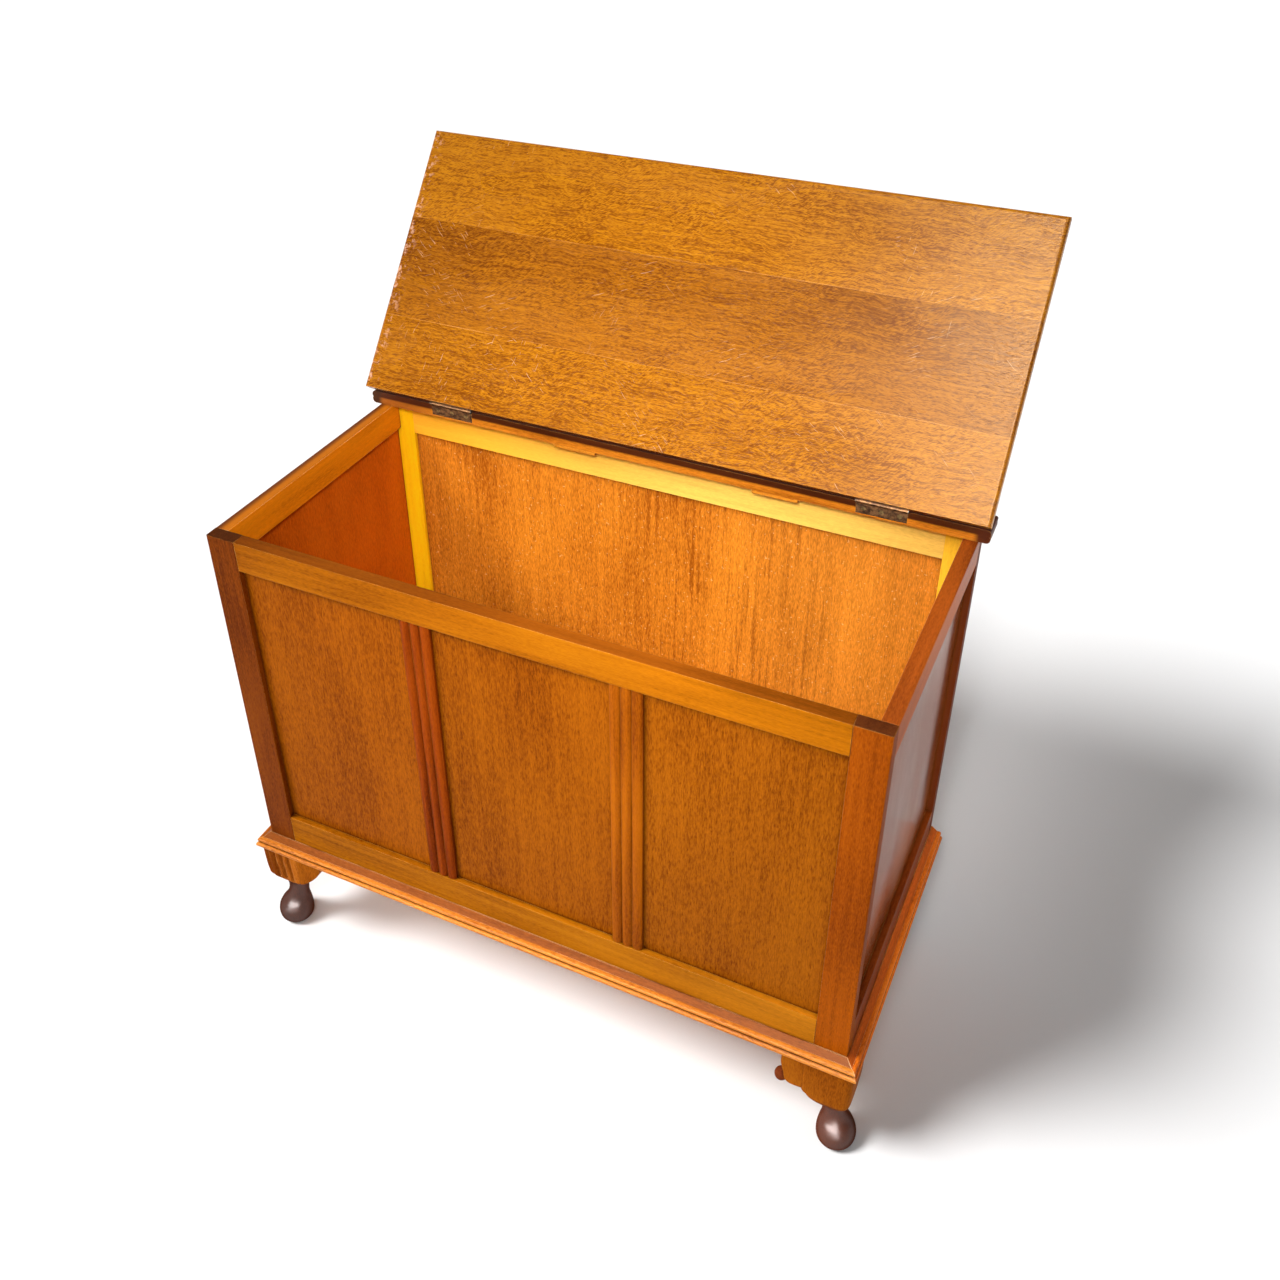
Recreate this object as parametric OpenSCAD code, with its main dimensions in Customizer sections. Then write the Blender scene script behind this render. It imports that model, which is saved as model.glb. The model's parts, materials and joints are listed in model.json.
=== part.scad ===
// Wooden toy box of the blanket-chest type: frame-and-panel carcass on cabriole feet with a hinged oak lid.
// Millimetres, +Z up, +X to the right, the front faces -Y. The origin is at the middle of the footprint of the
// box with its lid open, on the floor.

/* [Carcass] */
// Width over the corner stiles
carcass_w = 820; // [640:10:1000]
// Depth from front to back
carcass_d = 394; // [340:2:480]
// Height of the open rim above the floor
rim_z = 672; // [520:2:760]
// Height of the lower edge of the carcass above the floor
base_z = 160; // [150:2:180]

/* [Frames and panels] */
// Thickness of stiles, rails and the hinge rail
timber_t = 18; // [16:1:22]
// Width of the corner stiles
stile_w = 40; // [36:1:60]
// Height of the front and side top rails
top_rail_h = 41; // [34:1:60]
// Height of the top rail of the back frame
back_rail_h = 45; // [34:1:60]
// Height of the bottom rails
bottom_rail_h = 65; // [50:1:90]
// Width of the reeded muntins in the front
muntin_w = 39; // [30:3:60]
// Distance from the middle of the front to each muntin
muntin_x = 130; // [100:1:150]
// Thickness of the plywood panels
panel_t = 4; // [3:0.5:6]
// Depth of the panels behind the outer face
panel_recess = 8.5; // [5:0.5:9]

/* [Base] */
// How far the base moulding stands out
mould_out = 17; // [12:1:22]
// Height of the base moulding
mould_h = 21; // [16:1:26]
// Thickness of the bottom board
floor_t = 9; // [6:1:15]

/* [Lid] */
// Width of the lid and of the hinge rail
lid_w = 845; // [664:1:1024]
// Thickness of the lid
lid_t = 18; // [16:1:22]
// How far the lid stands out in front of the carcass
lid_overhang = 6; // [2:1:15]
// Angle of the open lid from closed
lid_open = 128.3; // [95:0.1:135]
// Width of the front board of the lid
front_board = 124; // [90:1:140]
// Width of the rear board of the lid
rear_board = 103; // [80:1:130]

/* [Hinges] */
// Length of a hinge along its pin
hinge_l = 62; // [50:1:80]
// Distance from the middle of the box to the middle of a hinge
hinge_x = 295; // [150:1:360]
// Outer diameter of the hinge knuckles
knuckle_d = 6.8; // [6:0.1:8]
// Diameter of the hinge pins
pin_d = 3; // [2.5:0.1:3.5]

/* [Feet] */
// Side of the square block at the top of a foot
knee_w = 60; // [54:1:66]
// How far the knee stands out from the carcass
knee_out = 13; // [8:1:16]
// Radius of the ankle
ankle_r = 14; // [12:0.5:18]
// Radius of the pad that stands on the floor
pad_r = 24.5; // [21:0.5:27]

/* [Hidden] */
$fn = 48;

// Carcass
half_w = carcass_w / 2;
half_d = carcass_d / 2;
inner_half_w = half_w - timber_t;
inner_half_d = half_d - timber_t;
cut = 1;

// Joinery: grooves for the panels, mortises and tenons for the rails
groove_depth = 8;
panel_entry = 7;
tenon_l = 25;
side_tenon_l = 10;
tenon_t = 6;
tenon_shoulder = 10;
muntin_tenon_l = 18;
tenon_y = panel_recess + panel_t / 2 - tenon_t / 2;
arris = 0.8;

// Reeds of the muntins
reed_w = muntin_w / 3;
reed_rise = 3;
reed_r = (reed_w * reed_w / 4 + reed_rise * reed_rise) / (2 * reed_rise);
reed_top = 1;

// Floor
cleat_w = 15;
cleat_h = 20;
corner_block = 70;

// Hinge rail and lid. The hinge axis lies over the joint between them.
joint_gap = 1.5;
lid_gap = 0.8;
pin_rise = 1.2;
rail_overhang = 6;
hinge_y = half_d - timber_t - 16;
lid_top_z = rim_z + lid_gap + lid_t;
hinge_z = lid_top_z + pin_rise;
lid_d = hinge_y - joint_gap / 2 + half_d + lid_overhang;
rail_d = half_d + rail_overhang - hinge_y - joint_gap / 2;
edge_r = 5;
quirk_r = 1.1;
slip_l = 59;
slip_t = 5;
slip_set_back = 0.5;
left_slip_x = -111;
right_slip_x = 163;
dowel_d = 8;
dowel_l = 26;

// Hinges
leaf_t = 1.6;
leaf_h = 16.5;
knuckles = 5;
knuckle_gap = 0.3;
knuckle_l = (hinge_l - (knuckles - 1) * knuckle_gap) / knuckles;
knuckle_relief = 0.35;
pin_clearance = 0.05;
pin_head = 0.8;
leaf_screw_d = 3;
leaf_screw_head = 6;
leaf_screw_l = 14;
leaf_screw_pitch = 22;

// Feet
pad_in_x = 3;
pad_in_y = 14;
rear_foot_inset = 13;
rear_foot_in_x = 26;
foot_screw_d = 4.5;
foot_screw_l = 50;
foot_screw_offset = 7;
wing_t = 18;
wing_l = 18;
wing_set_back = 0.2;
knob_r = 8.5;
knob_drop = 50.5;

// The footprint with the lid open: its front is the moulding, its back the far edge of the lid
lid_tip_y = (lid_d + joint_gap / 2 - edge_r) * -cos(lid_open) - (pin_rise + edge_r) * sin(lid_open) + edge_r;
footprint_front = -half_d - mould_out;
footprint_back = hinge_y + lid_tip_y;
frame_shift_y = -(footprint_front + footprint_back) / 2;

// ---- Placing ----

module stand() translate([0, frame_shift_y, 0]) children();

// A frame is drawn with x along it, y from its outer face into the timber and z up
module on_front() stand() translate([0, -half_d, 0]) children();
module on_back() stand() translate([0, half_d, 0]) rotate([0, 0, 180]) children();
module on_left() stand() translate([-half_w, 0, 0]) rotate([0, 0, -90]) children();
module on_right() stand() translate([half_w, 0, 0]) rotate([0, 0, 90]) children();

// The hinge axis runs along x through the origin here; the lid is drawn closed and then opened
module at_hinge_axis() stand() translate([0, hinge_y, hinge_z]) children();
module on_lid() at_hinge_axis() rotate([-lid_open, 0, 0]) children();

// ---- Frame-and-panel joinery ----

// A bar of timber with its four long arrises eased, along z
module bar(x0, x1, z0, z1) {
    translate([0, 0, z0])
        linear_extrude(z1 - z0)
            polygon([
                [x0 + arris, 0],
                [x1 - arris, 0],
                [x1, arris],
                [x1, timber_t],
                [x0, timber_t],
                [x0, arris]
            ]);
}

module groove(x0, x1, z0, z1) {
    translate([x0, panel_recess, z0])
        cube([x1 - x0, panel_t, z1 - z0]);
}

module tenon(x0, x1, z0, z1) {
    translate([x0, tenon_y, z0])
        cube([x1 - x0, tenon_t, z1 - z0]);
}

// The groove and the mortises in a stile's inner face, where the side frame between the stiles enters
module side_joints(edge, side) {
    groove_x = edge + side * panel_recess;
    groove_end = groove_x + side * panel_t;
    mortise_x = edge + side * tenon_y;
    mortise_end = mortise_x + side * tenon_t;
    translate([min(groove_x, groove_end), timber_t - groove_depth, base_z + bottom_rail_h - groove_depth])
        cube([panel_t, groove_depth + cut, rim_z - top_rail_h - base_z - bottom_rail_h + 2 * groove_depth]);
    for (z = [[base_z, base_z + bottom_rail_h], [rim_z - top_rail_h, rim_z]])
        translate([min(mortise_x, mortise_end), timber_t - side_tenon_l, z[0] + tenon_shoulder])
            cube([tenon_t, side_tenon_l + cut, z[1] - z[0] - 2 * tenon_shoulder]);
}

// A stile from its outer edge at x = edge, growing along side = 1 or -1
module stile(edge, side, rail_h) {
    inner = edge + side * stile_w;
    groove_end = inner - side * groove_depth;
    tenon_end = inner - side * tenon_l;
    over = inner + side * cut;
    difference() {
        bar(min(edge, inner), max(edge, inner), base_z, rim_z);
        groove(min(over, groove_end), max(over, groove_end),
            base_z + bottom_rail_h - groove_depth, rim_z - rail_h + groove_depth);
        tenon(min(over, tenon_end), max(over, tenon_end),
            base_z + tenon_shoulder, base_z + bottom_rail_h - tenon_shoulder);
        tenon(min(over, tenon_end), max(over, tenon_end),
            rim_z - rail_h + tenon_shoulder, rim_z - tenon_shoulder);
        side_joints(edge, side);
    }
}

// A rail between two stiles, its panel groove in the edge at z0 or at z1, its tenons as long as reach
module rail(half_l, z0, z1, groove_up, reach) {
    groove_z = groove_up ? z1 - groove_depth : z0 - cut;
    difference() {
        union() {
            translate([-half_l, 0, z0])
                rotate([90, 0, 90])
                    linear_extrude(2 * half_l)
                        polygon([
                            [arris, 0],
                            [timber_t - arris, 0],
                            [timber_t, arris],
                            [timber_t, z1 - z0 - arris],
                            [timber_t - arris, z1 - z0],
                            [arris, z1 - z0],
                            [0, z1 - z0 - arris],
                            [0, arris]
                        ]);
            tenon(-half_l - reach, half_l + reach, z0 + tenon_shoulder, z1 - tenon_shoulder);
        }
        groove(-half_l - cut, half_l + cut, groove_z, groove_z + groove_depth + cut);
    }
}

module top_rail(half_l, h, reach = tenon_l) {
    rail(half_l, rim_z - h, rim_z, false, reach);
}

module bottom_rail(half_l, reach = tenon_l) {
    rail(half_l, base_z, base_z + bottom_rail_h, true, reach);
}

// A panel that fills the opening from x0 to x1 and enters the grooves all round
module panel(x0, x1, rail_h) {
    z0 = base_z + bottom_rail_h - panel_entry;
    z1 = rim_z - rail_h + panel_entry;
    translate([x0 - panel_entry, panel_recess, z0])
        cube([x1 - x0 + 2 * panel_entry, panel_t, z1 - z0]);
}

// ---- Front frame ----

front_half_l = half_w - stile_w;

module muntin_mortises(at_top) {
    z0 = at_top ? rim_z - top_rail_h - cut : base_z + bottom_rail_h - muntin_tenon_l;
    for (x = [-muntin_x, muntin_x])
        tenon(x - muntin_w / 2 + tenon_shoulder, x + muntin_w / 2 - tenon_shoulder,
            z0, z0 + muntin_tenon_l + cut);
}

module muntin(x) {
    z0 = base_z + bottom_rail_h;
    z1 = rim_z - top_rail_h;
    left = x - muntin_w / 2;
    right = x + muntin_w / 2;
    difference() {
        union() {
            translate([x, 0, z0])
                linear_extrude(z1 - z0) {
                    translate([-muntin_w / 2, reed_top + reed_rise])
                        square([muntin_w, timber_t - reed_top - reed_rise]);
                    for (i = [-1:1])
                        intersection() {
                            translate([i * reed_w, reed_top + reed_r])
                                circle(reed_r);
                            translate([(i - 0.5) * reed_w, 0])
                                square([reed_w, reed_top + reed_rise + cut]);
                        }
                }
            tenon(left + tenon_shoulder, right - tenon_shoulder, z0 - muntin_tenon_l, z1 + muntin_tenon_l);
        }
        groove(left - cut, left + groove_depth, z0 - cut, z1 + cut);
        groove(right - groove_depth, right + cut, z0 - cut, z1 + cut);
    }
}

module front_left_stile() color("saddlebrown") on_front() stile(-half_w, 1, top_rail_h);
module front_right_stile() color("saddlebrown") on_front() stile(half_w, -1, top_rail_h);

module front_top_rail() {
    color("peru")
        on_front()
            difference() {
                top_rail(front_half_l, top_rail_h);
                muntin_mortises(true);
            }
}

module front_bottom_rail() {
    color("peru")
        on_front()
            difference() {
                bottom_rail(front_half_l);
                muntin_mortises(false);
            }
}

module front_left_muntin() color("chocolate") on_front() muntin(-muntin_x);
module front_right_muntin() color("chocolate") on_front() muntin(muntin_x);

module front_left_panel() {
    color("darkgoldenrod") on_front() panel(-front_half_l, -muntin_x - muntin_w / 2, top_rail_h);
}

module front_middle_panel() {
    color("darkgoldenrod") on_front() panel(-muntin_x + muntin_w / 2, muntin_x - muntin_w / 2, top_rail_h);
}

module front_right_panel() {
    color("darkgoldenrod") on_front() panel(muntin_x + muntin_w / 2, front_half_l, top_rail_h);
}

// ---- Sides: rails and panels framed straight into the stiles of the front and the back ----

side_half_l = inner_half_d;

module left_top_rail() color("peru") on_left() top_rail(side_half_l, top_rail_h, side_tenon_l);
module left_bottom_rail() color("peru") on_left() bottom_rail(side_half_l, side_tenon_l);
module left_panel() color("sienna") on_left() panel(-side_half_l, side_half_l, top_rail_h);

module right_top_rail() color("peru") on_right() top_rail(side_half_l, top_rail_h, side_tenon_l);
module right_bottom_rail() color("peru") on_right() bottom_rail(side_half_l, side_tenon_l);
module right_panel() color("sienna") on_right() panel(-side_half_l, side_half_l, top_rail_h);

// ---- Back frame ----

module back_left_stile() color("goldenrod") on_back() stile(half_w, -1, back_rail_h);
module back_right_stile() color("goldenrod") on_back() stile(-half_w, 1, back_rail_h);
module back_bottom_rail() color("goldenrod") on_back() bottom_rail(front_half_l);
module back_panel() color("sienna") on_back() panel(-front_half_l, front_half_l, back_rail_h);

module back_top_rail() {
    color("goldenrod")
        difference() {
            on_back() top_rail(front_half_l, back_rail_h);
            stand() rail_dowels();
        }
}

// ---- Floor and base ----

module bottom_board() {
    color("burlywood")
        stand()
            translate([-inner_half_w, -inner_half_d, base_z + cleat_h])
                cube([2 * inner_half_w, 2 * inner_half_d, floor_t]);
}

module floor_cleats() {
    long_half = inner_half_w - corner_block;
    short_half = inner_half_d - corner_block;
    color("tan")
        stand()
            translate([0, 0, base_z])
                for (side = [-1, 1]) {
                    translate([-long_half, side > 0 ? inner_half_d - cleat_w : -inner_half_d, 0])
                        cube([2 * long_half, cleat_w, cleat_h]);
                    translate([side > 0 ? inner_half_w - cleat_w : -inner_half_w, -short_half, 0])
                        cube([cleat_w, 2 * short_half, cleat_h]);
                }
}

module corner_blocks() {
    color("tan")
        stand()
            difference() {
                for (sx = [-1, 1], sy = [-1, 1])
                    scale_corner(sx, sy)
                        translate([inner_half_w - corner_block, inner_half_d - corner_block, base_z])
                            cube([corner_block, corner_block, cleat_h]);
                all_foot_screws();
            }
}

// Mirrors a shape drawn in the corner x > 0, y > 0 to the corner (sx, sy)
module scale_corner(sx, sy) mirror([sx < 0 ? 1 : 0, 0, 0]) mirror([0, sy < 0 ? 1 : 0, 0]) children();

function arc(cx, cy, r, a0, a1, steps) = [for (i = [0:steps]) let (a = a0 + (a1 - a0) * i / steps)
    [cx + r * cos(a), cy + r * sin(a)]];

// Section of the base moulding: an outer bead, a quirk, an inner bead and a slope up to the rail
module mould_section() {
    outer_bead = 4.1;
    inner_bead = 3.5;
    outer_x = mould_out - outer_bead;
    inner_x = outer_x - 1.8;
    inner_y = 2 * outer_bead + inner_bead + 0.2;
    polygon(concat(
        [[0, 0], [outer_x, 0]],
        arc(outer_x, outer_bead, outer_bead, -80, 80, 10),
        [[outer_x - 2.2, 2 * outer_bead + 0.1]],
        arc(inner_x, inner_y, inner_bead, -55, 90, 10),
        [[inner_x - 2.5, inner_y + inner_bead - 0.3], [1.2, mould_h], [0, mould_h]]
    ));
}

// A run of moulding along x whose section stands out towards -y
module mould_run(half_l) {
    translate([-half_l, 0, 0])
        rotate([90, 0, 90])
            linear_extrude(2 * half_l)
                mirror([1, 0])
                    mould_section();
}

module front_base_mould() {
    reach = half_w + mould_out;
    color("peru")
        stand()
            intersection() {
                translate([0, -half_d, base_z])
                    mould_run(reach);
                translate([0, 0, base_z - cut])
                    linear_extrude(mould_h + 2 * cut)
                        polygon([
                            [-reach, -half_d - mould_out],
                            [reach, -half_d - mould_out],
                            [half_w, -half_d],
                            [-half_w, -half_d]
                        ]);
            }
}

module side_mould() {
    intersection() {
        translate([half_w, 0, base_z])
            rotate([0, 0, 90])
                mould_run(half_d + mould_out);
        translate([0, 0, base_z - cut])
            linear_extrude(mould_h + 2 * cut)
                polygon([
                    [half_w, -half_d],
                    [half_w + mould_out, -half_d - mould_out],
                    [half_w + mould_out, half_d],
                    [half_w, half_d]
                ]);
    }
}

module left_base_mould() color("peru") stand() mirror([1, 0, 0]) side_mould();
module right_base_mould() color("peru") stand() side_mould();

// ---- Feet, drawn with the carcass corner at the origin and outwards along +x and +y ----

// Each station is height, inset of the centre in x, inset in y, half size and squareness
foot_stations = [
    [0, pad_in_x, pad_in_y, pad_r * 0.55, 0],
    [3, pad_in_x, pad_in_y, pad_r * 0.78, 0],
    [9, pad_in_x, pad_in_y, pad_r * 0.95, 0],
    [20, pad_in_x, pad_in_y, pad_r, 0],
    [34, pad_in_x + 1, pad_in_y, pad_r * 0.93, 0],
    [48, pad_in_x + 4, pad_in_y + 1, pad_r * 0.76, 0],
    [60, pad_in_x + 7, pad_in_y + 3, ankle_r * 1.08, 0],
    [72, pad_in_x + 9, pad_in_y + 5, ankle_r, 0],
    [82, pad_in_x + 9, pad_in_y + 5, ankle_r * 1.15, 0.05],
    [89, pad_in_x + 9, pad_in_y + 3.5, knee_w / 2 - 12.8, 0.15],
    [96, pad_in_x + 9.5, pad_in_y + 1.5, knee_w / 2 - 9.6, 0.35],
    [102, knee_w / 2 - knee_out - 3.5, knee_w / 2 - knee_out - 2.5, knee_w / 2 - 6, 0.5],
    [107, knee_w / 2 - knee_out - 1.4, knee_w / 2 - knee_out - 1.4, knee_w / 2 - 2, 0.62],
    [112, knee_w / 2 - knee_out - 0.1, knee_w / 2 - knee_out - 0.1, knee_w / 2 - 0.4, 0.7],
    [124, knee_w / 2 - knee_out, knee_w / 2 - knee_out, knee_w / 2, 0.8],
    [base_z, knee_w / 2 - knee_out, knee_w / 2 - knee_out, knee_w / 2, 1]
];
foot_sides = 32;
foot_steps = 3;

function blend(a, b, c, d, t) = 0.5 * (2 * b + (c - a) * t + (2 * a - 5 * b + 4 * c - d) * t * t
    + (3 * b - a - 3 * c + d) * t * t * t);

function station(i) = foot_stations[max(0, min(len(foot_stations) - 1, i))];

// The corners that the knee wings butt against stay square from the wings' lower edge upwards
function wing_corner_power(z) = 2 + 22 * max(0, min(1, (z - 99) / 9));

function ring_power(s, a) = let (plain = 2 + 8 * max(0, s[4]) * s[4])
    cos(a) * sin(a) < 0 ? max(plain, wing_corner_power(s[0])) : plain;

function foot_ring(s) =
    [for (k = [0:foot_sides - 1]) let (a = 360 * (k + 0.5) / foot_sides, power = ring_power(s, a))
        [s[3] * sign(cos(a)) * pow(abs(cos(a)), 2 / power) - s[1],
         s[3] * sign(sin(a)) * pow(abs(sin(a)), 2 / power) - s[2],
         s[0]]];

foot_rings = concat(
    [for (i = [0:len(foot_stations) - 3]) for (k = [0:foot_steps - 1])
        foot_ring(blend(station(i - 1), station(i), station(i + 1), station(i + 2), k / foot_steps))],
    [foot_ring(station(len(foot_stations) - 2)), foot_ring(station(len(foot_stations) - 1))]);

module foot_body() {
    rings = len(foot_rings);
    polyhedron(
        points = [for (ring = foot_rings) each ring],
        faces = concat(
            [[for (k = [0:foot_sides - 1]) k]],
            [[for (k = [foot_sides - 1:-1:0]) (rings - 1) * foot_sides + k]],
            [for (i = [0:rings - 2]) for (k = [0:foot_sides - 1])
                let (n = (k + 1) % foot_sides, low = i * foot_sides, high = low + foot_sides)
                [low + k, high + k, high + n, low + n]]));
}

// Puts a foot's shape under the corner (sx, sy); the rear feet stand further in
module at_corner(sx, sy) {
    scale_corner(sx, sy)
        translate([half_w - (sy > 0 ? rear_foot_in_x : 0), half_d - (sy > 0 ? rear_foot_inset : 0), 0])
            children();
}

module foot_screw() {
    translate([0, 0, base_z + cleat_h - foot_screw_l])
        cylinder(d = foot_screw_d, h = foot_screw_l);
    translate([0, 0, base_z + cleat_h - foot_screw_d])
        cylinder(d1 = foot_screw_d, d2 = 2 * foot_screw_d, h = foot_screw_d);
}

module foot_screw_pair() {
    middle = timber_t + (knee_w - knee_out - timber_t) / 2;
    for (side = [-1, 1])
        translate([side * foot_screw_offset - middle, -side * foot_screw_offset - middle, 0])
            foot_screw();
}

module all_foot_screws() {
    for (sx = [-1, 1], sy = [-1, 1])
        at_corner(sx, sy)
            foot_screw_pair();
}

module foot(sx, sy) {
    color("saddlebrown")
        stand()
            difference() {
                at_corner(sx, sy) foot_body();
                all_foot_screws();
            }
}

module front_left_foot() foot(-1, -1);
module front_right_foot() foot(1, -1);
module rear_left_foot() foot(-1, 1);
module rear_right_foot() foot(1, 1);
module foot_screws() color("gray") stand() all_foot_screws();

// The knee wing beside a foot's block: x runs from the block to the middle of the box, y down from the base
wing_edge = [
    [0, 0], [-26, 0], [-26.5, -14], [-25, -24], [-22.5, -33], [-21.5, -40], [-20, -46], [-16, -50.2],
    [-10, -51.6], [0, -51.2]
];

// The front left ear has lost its scroll, and its edge runs up to the moulding in one sweep
plain_edge = [
    [0, 0], [-38, 0], [-36, -12], [-32, -20], [-27, -27], [-20, -35], [-13, -42], [-6, -48], [0, -51.2]
];

module wing_plate(edge) {
    translate([knee_out - knee_w, 0, base_z])
        rotate([90, 0, 0])
            linear_extrude(wing_t)
                polygon(edge);
}

module scroll_knob() {
    translate([knee_out - knee_w - wing_l - 8, -knob_r - 0.5, base_z - knob_drop])
        sphere(knob_r);
}

module front_wing() {
    translate([0, knee_out - wing_set_back, 0]) {
        wing_plate(wing_edge);
        scroll_knob();
    }
}

module side_wing() {
    mirror([1, -1, 0])
        translate([0, knee_out - 7, 0])
            wing_plate(wing_edge);
}

module front_left_foot_wings() {
    color("saddlebrown")
        stand()
            at_corner(-1, -1) {
                translate([0, knee_out - wing_set_back, 0]) wing_plate(plain_edge);
                side_wing();
            }
}

module front_right_foot_wings() {
    color("saddlebrown")
        stand()
            at_corner(1, -1) {
                front_wing();
                side_wing();
            }
}

module rear_foot_wing(sx) color("saddlebrown") stand() at_corner(sx, 1) side_wing();
module rear_left_foot_wing() rear_foot_wing(-1);
module rear_right_foot_wing() rear_foot_wing(1);

// ---- Hinge rail and slips ----

// A section with rounded arrises and a fine quirk along the middle of its edges at the ends of x
module edged_section(x0, x1, round_left, round_right) {
    difference() {
        union() {
            translate([round_left ? x0 + edge_r : x0, 0])
                square([x1 - x0 - (round_left ? edge_r : 0) - (round_right ? edge_r : 0), lid_t]);
            if (round_left)
                rounded_edge(x0, 1);
            if (round_right)
                rounded_edge(x1, -1);
        }
        if (round_left)
            translate([x0, lid_t / 2]) circle(quirk_r);
        if (round_right)
            translate([x1, lid_t / 2]) circle(quirk_r);
    }
}

module rounded_edge(x, side) {
    translate([x + side * edge_r, edge_r]) circle(edge_r);
    translate([x + side * edge_r, lid_t - edge_r]) circle(edge_r);
    translate([min(x, x + side * edge_r), edge_r]) square([edge_r, lid_t - 2 * edge_r]);
}

// A board of the lid's thickness from y0 to y1, with the ends rounded and its front or rear edge rounded
module edged_board(y0, y1, round_front, round_rear) {
    intersection() {
        translate([0, y1 + cut, 0])
            rotate([90, 0, 0])
                linear_extrude(y1 - y0 + 2 * cut)
                    edged_section(-lid_w / 2, lid_w / 2, true, true);
        translate([-lid_w / 2 - cut, 0, 0])
            rotate([90, 0, 90])
                linear_extrude(lid_w + 2 * cut)
                    edged_section(y0, y1, round_front, round_rear);
    }
}

module rail_dowels() {
    for (i = [-1.5:1:1.5])
        translate([i * (lid_w / 4), half_d - timber_t / 2, rim_z - dowel_l / 2])
            cylinder(d = dowel_d, h = dowel_l);
}

module hinge_rail() {
    color("sienna")
        difference() {
            stand()
                translate([0, 0, rim_z])
                    edged_board(hinge_y + joint_gap / 2, half_d + rail_overhang, false, true);
            stand() rail_dowels();
            at_hinge_axis() both_hinges() {
                leaf_mortise(1);
                leaf_screw_set(1);
            }
        }
}

module hinge_rail_dowels() color("tan") stand() rail_dowels();

// A slip let in under the overhang of the hinge rail, against the back rail
module slip(x) {
    front_y = hinge_y + joint_gap / 2 + slip_set_back;
    translate([x - slip_l / 2, front_y, rim_z - slip_t])
        cube([slip_l, inner_half_d - front_y, slip_t]);
}

module left_slip() color("peru") stand() slip(left_slip_x);
module right_slip() color("peru") stand() slip(right_slip_x);

// ---- Lid ----

lid_rear_y = -joint_gap / 2;
lid_front_y = lid_rear_y - lid_d;

module lid_board(y0, y1, round_front) {
    color("chocolate")
        on_lid()
            difference() {
                translate([0, 0, -pin_rise - lid_t])
                    edged_board(y0, y1, round_front, false);
                both_hinges() {
                    leaf_mortise(-1);
                    leaf_screw_set(-1);
                }
            }
}

module lid_front_board() lid_board(lid_front_y, lid_front_y + front_board, true);
module lid_middle_board() lid_board(lid_front_y + front_board, lid_rear_y - rear_board, false);
module lid_rear_board() lid_board(lid_rear_y - rear_board, lid_rear_y, false);

// ---- Hinges: the axis lies along x, the fixed leaf is at side = 1 (+y) and the lid leaf at side = -1 ----

module both_hinges() {
    for (x = [-hinge_x, hinge_x])
        translate([x, 0, 0])
            children();
}

module along_x(d, x0, x1) {
    translate([x0, 0, 0])
        rotate([0, 90, 0])
            cylinder(d = d, h = x1 - x0);
}

// A leaf's plate from the axis down, recessed flush with the edge it is screwed to
module leaf_plate(side, top) {
    y0 = side * joint_gap / 2;
    y1 = y0 + side * leaf_t;
    translate([-hinge_l / 2, min(y0, y1), -leaf_h - pin_rise])
        cube([hinge_l, leaf_t, leaf_h + pin_rise + top]);
}

// The recess for a leaf and the hollow round the knuckles
module leaf_mortise(side) {
    leaf_plate(side, knuckle_d);
    hollow_half_l = hinge_l / 2 + pin_head + knuckle_relief;
    along_x(knuckle_d + 2 * knuckle_relief, -hollow_half_l, hollow_half_l);
}

function knuckle_x(i) = -hinge_l / 2 + i * (knuckle_l + knuckle_gap);

// Knuckles first, first + 2 and so on, grown or shrunk by extra
module knuckle_set(first, d, extra) {
    for (i = [first:2:knuckles - 1])
        along_x(d, knuckle_x(i) - extra, knuckle_x(i) + knuckle_l + extra);
}

module leaf_screw_set(side) {
    for (i = [-1:1])
        translate([i * leaf_screw_pitch, side * joint_gap / 2, -pin_rise - leaf_h / 2 - 1])
            rotate([side * -90, 0, 0]) {
                cylinder(d = leaf_screw_d, h = leaf_screw_l);
                cylinder(d1 = leaf_screw_head, d2 = leaf_screw_d, h = leaf_t);
            }
}

module leaf(side, first) {
    color("darkslategray")
        difference() {
            union() {
                difference() {
                    leaf_plate(side, 0);
                    knuckle_set(1 - first, knuckle_d + 2 * knuckle_relief, knuckle_gap);
                }
                knuckle_set(first, knuckle_d, 0);
            }
            along_x(pin_d + 2 * pin_clearance, -hinge_l, hinge_l);
            leaf_screw_set(side);
        }
}

module pin() {
    color("dimgray") {
        along_x(pin_d, -hinge_l / 2, hinge_l / 2);
        for (x = [-hinge_l / 2 - pin_head, hinge_l / 2])
            along_x(knuckle_d - 1.5, x, x + pin_head);
    }
}

module left_hinge_fixed_leaf() at_hinge_axis() translate([-hinge_x, 0, 0]) leaf(1, 0);
module right_hinge_fixed_leaf() at_hinge_axis() translate([hinge_x, 0, 0]) leaf(1, 0);
module left_hinge_lid_leaf() on_lid() translate([-hinge_x, 0, 0]) leaf(-1, 1);
module right_hinge_lid_leaf() on_lid() translate([hinge_x, 0, 0]) leaf(-1, 1);
module left_hinge_pin() at_hinge_axis() translate([-hinge_x, 0, 0]) pin();
module right_hinge_pin() at_hinge_axis() translate([hinge_x, 0, 0]) pin();
module fixed_leaf_screws() color("darkgoldenrod") at_hinge_axis() both_hinges() leaf_screw_set(1);
module lid_leaf_screws() color("darkgoldenrod") on_lid() both_hinges() leaf_screw_set(-1);

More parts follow.
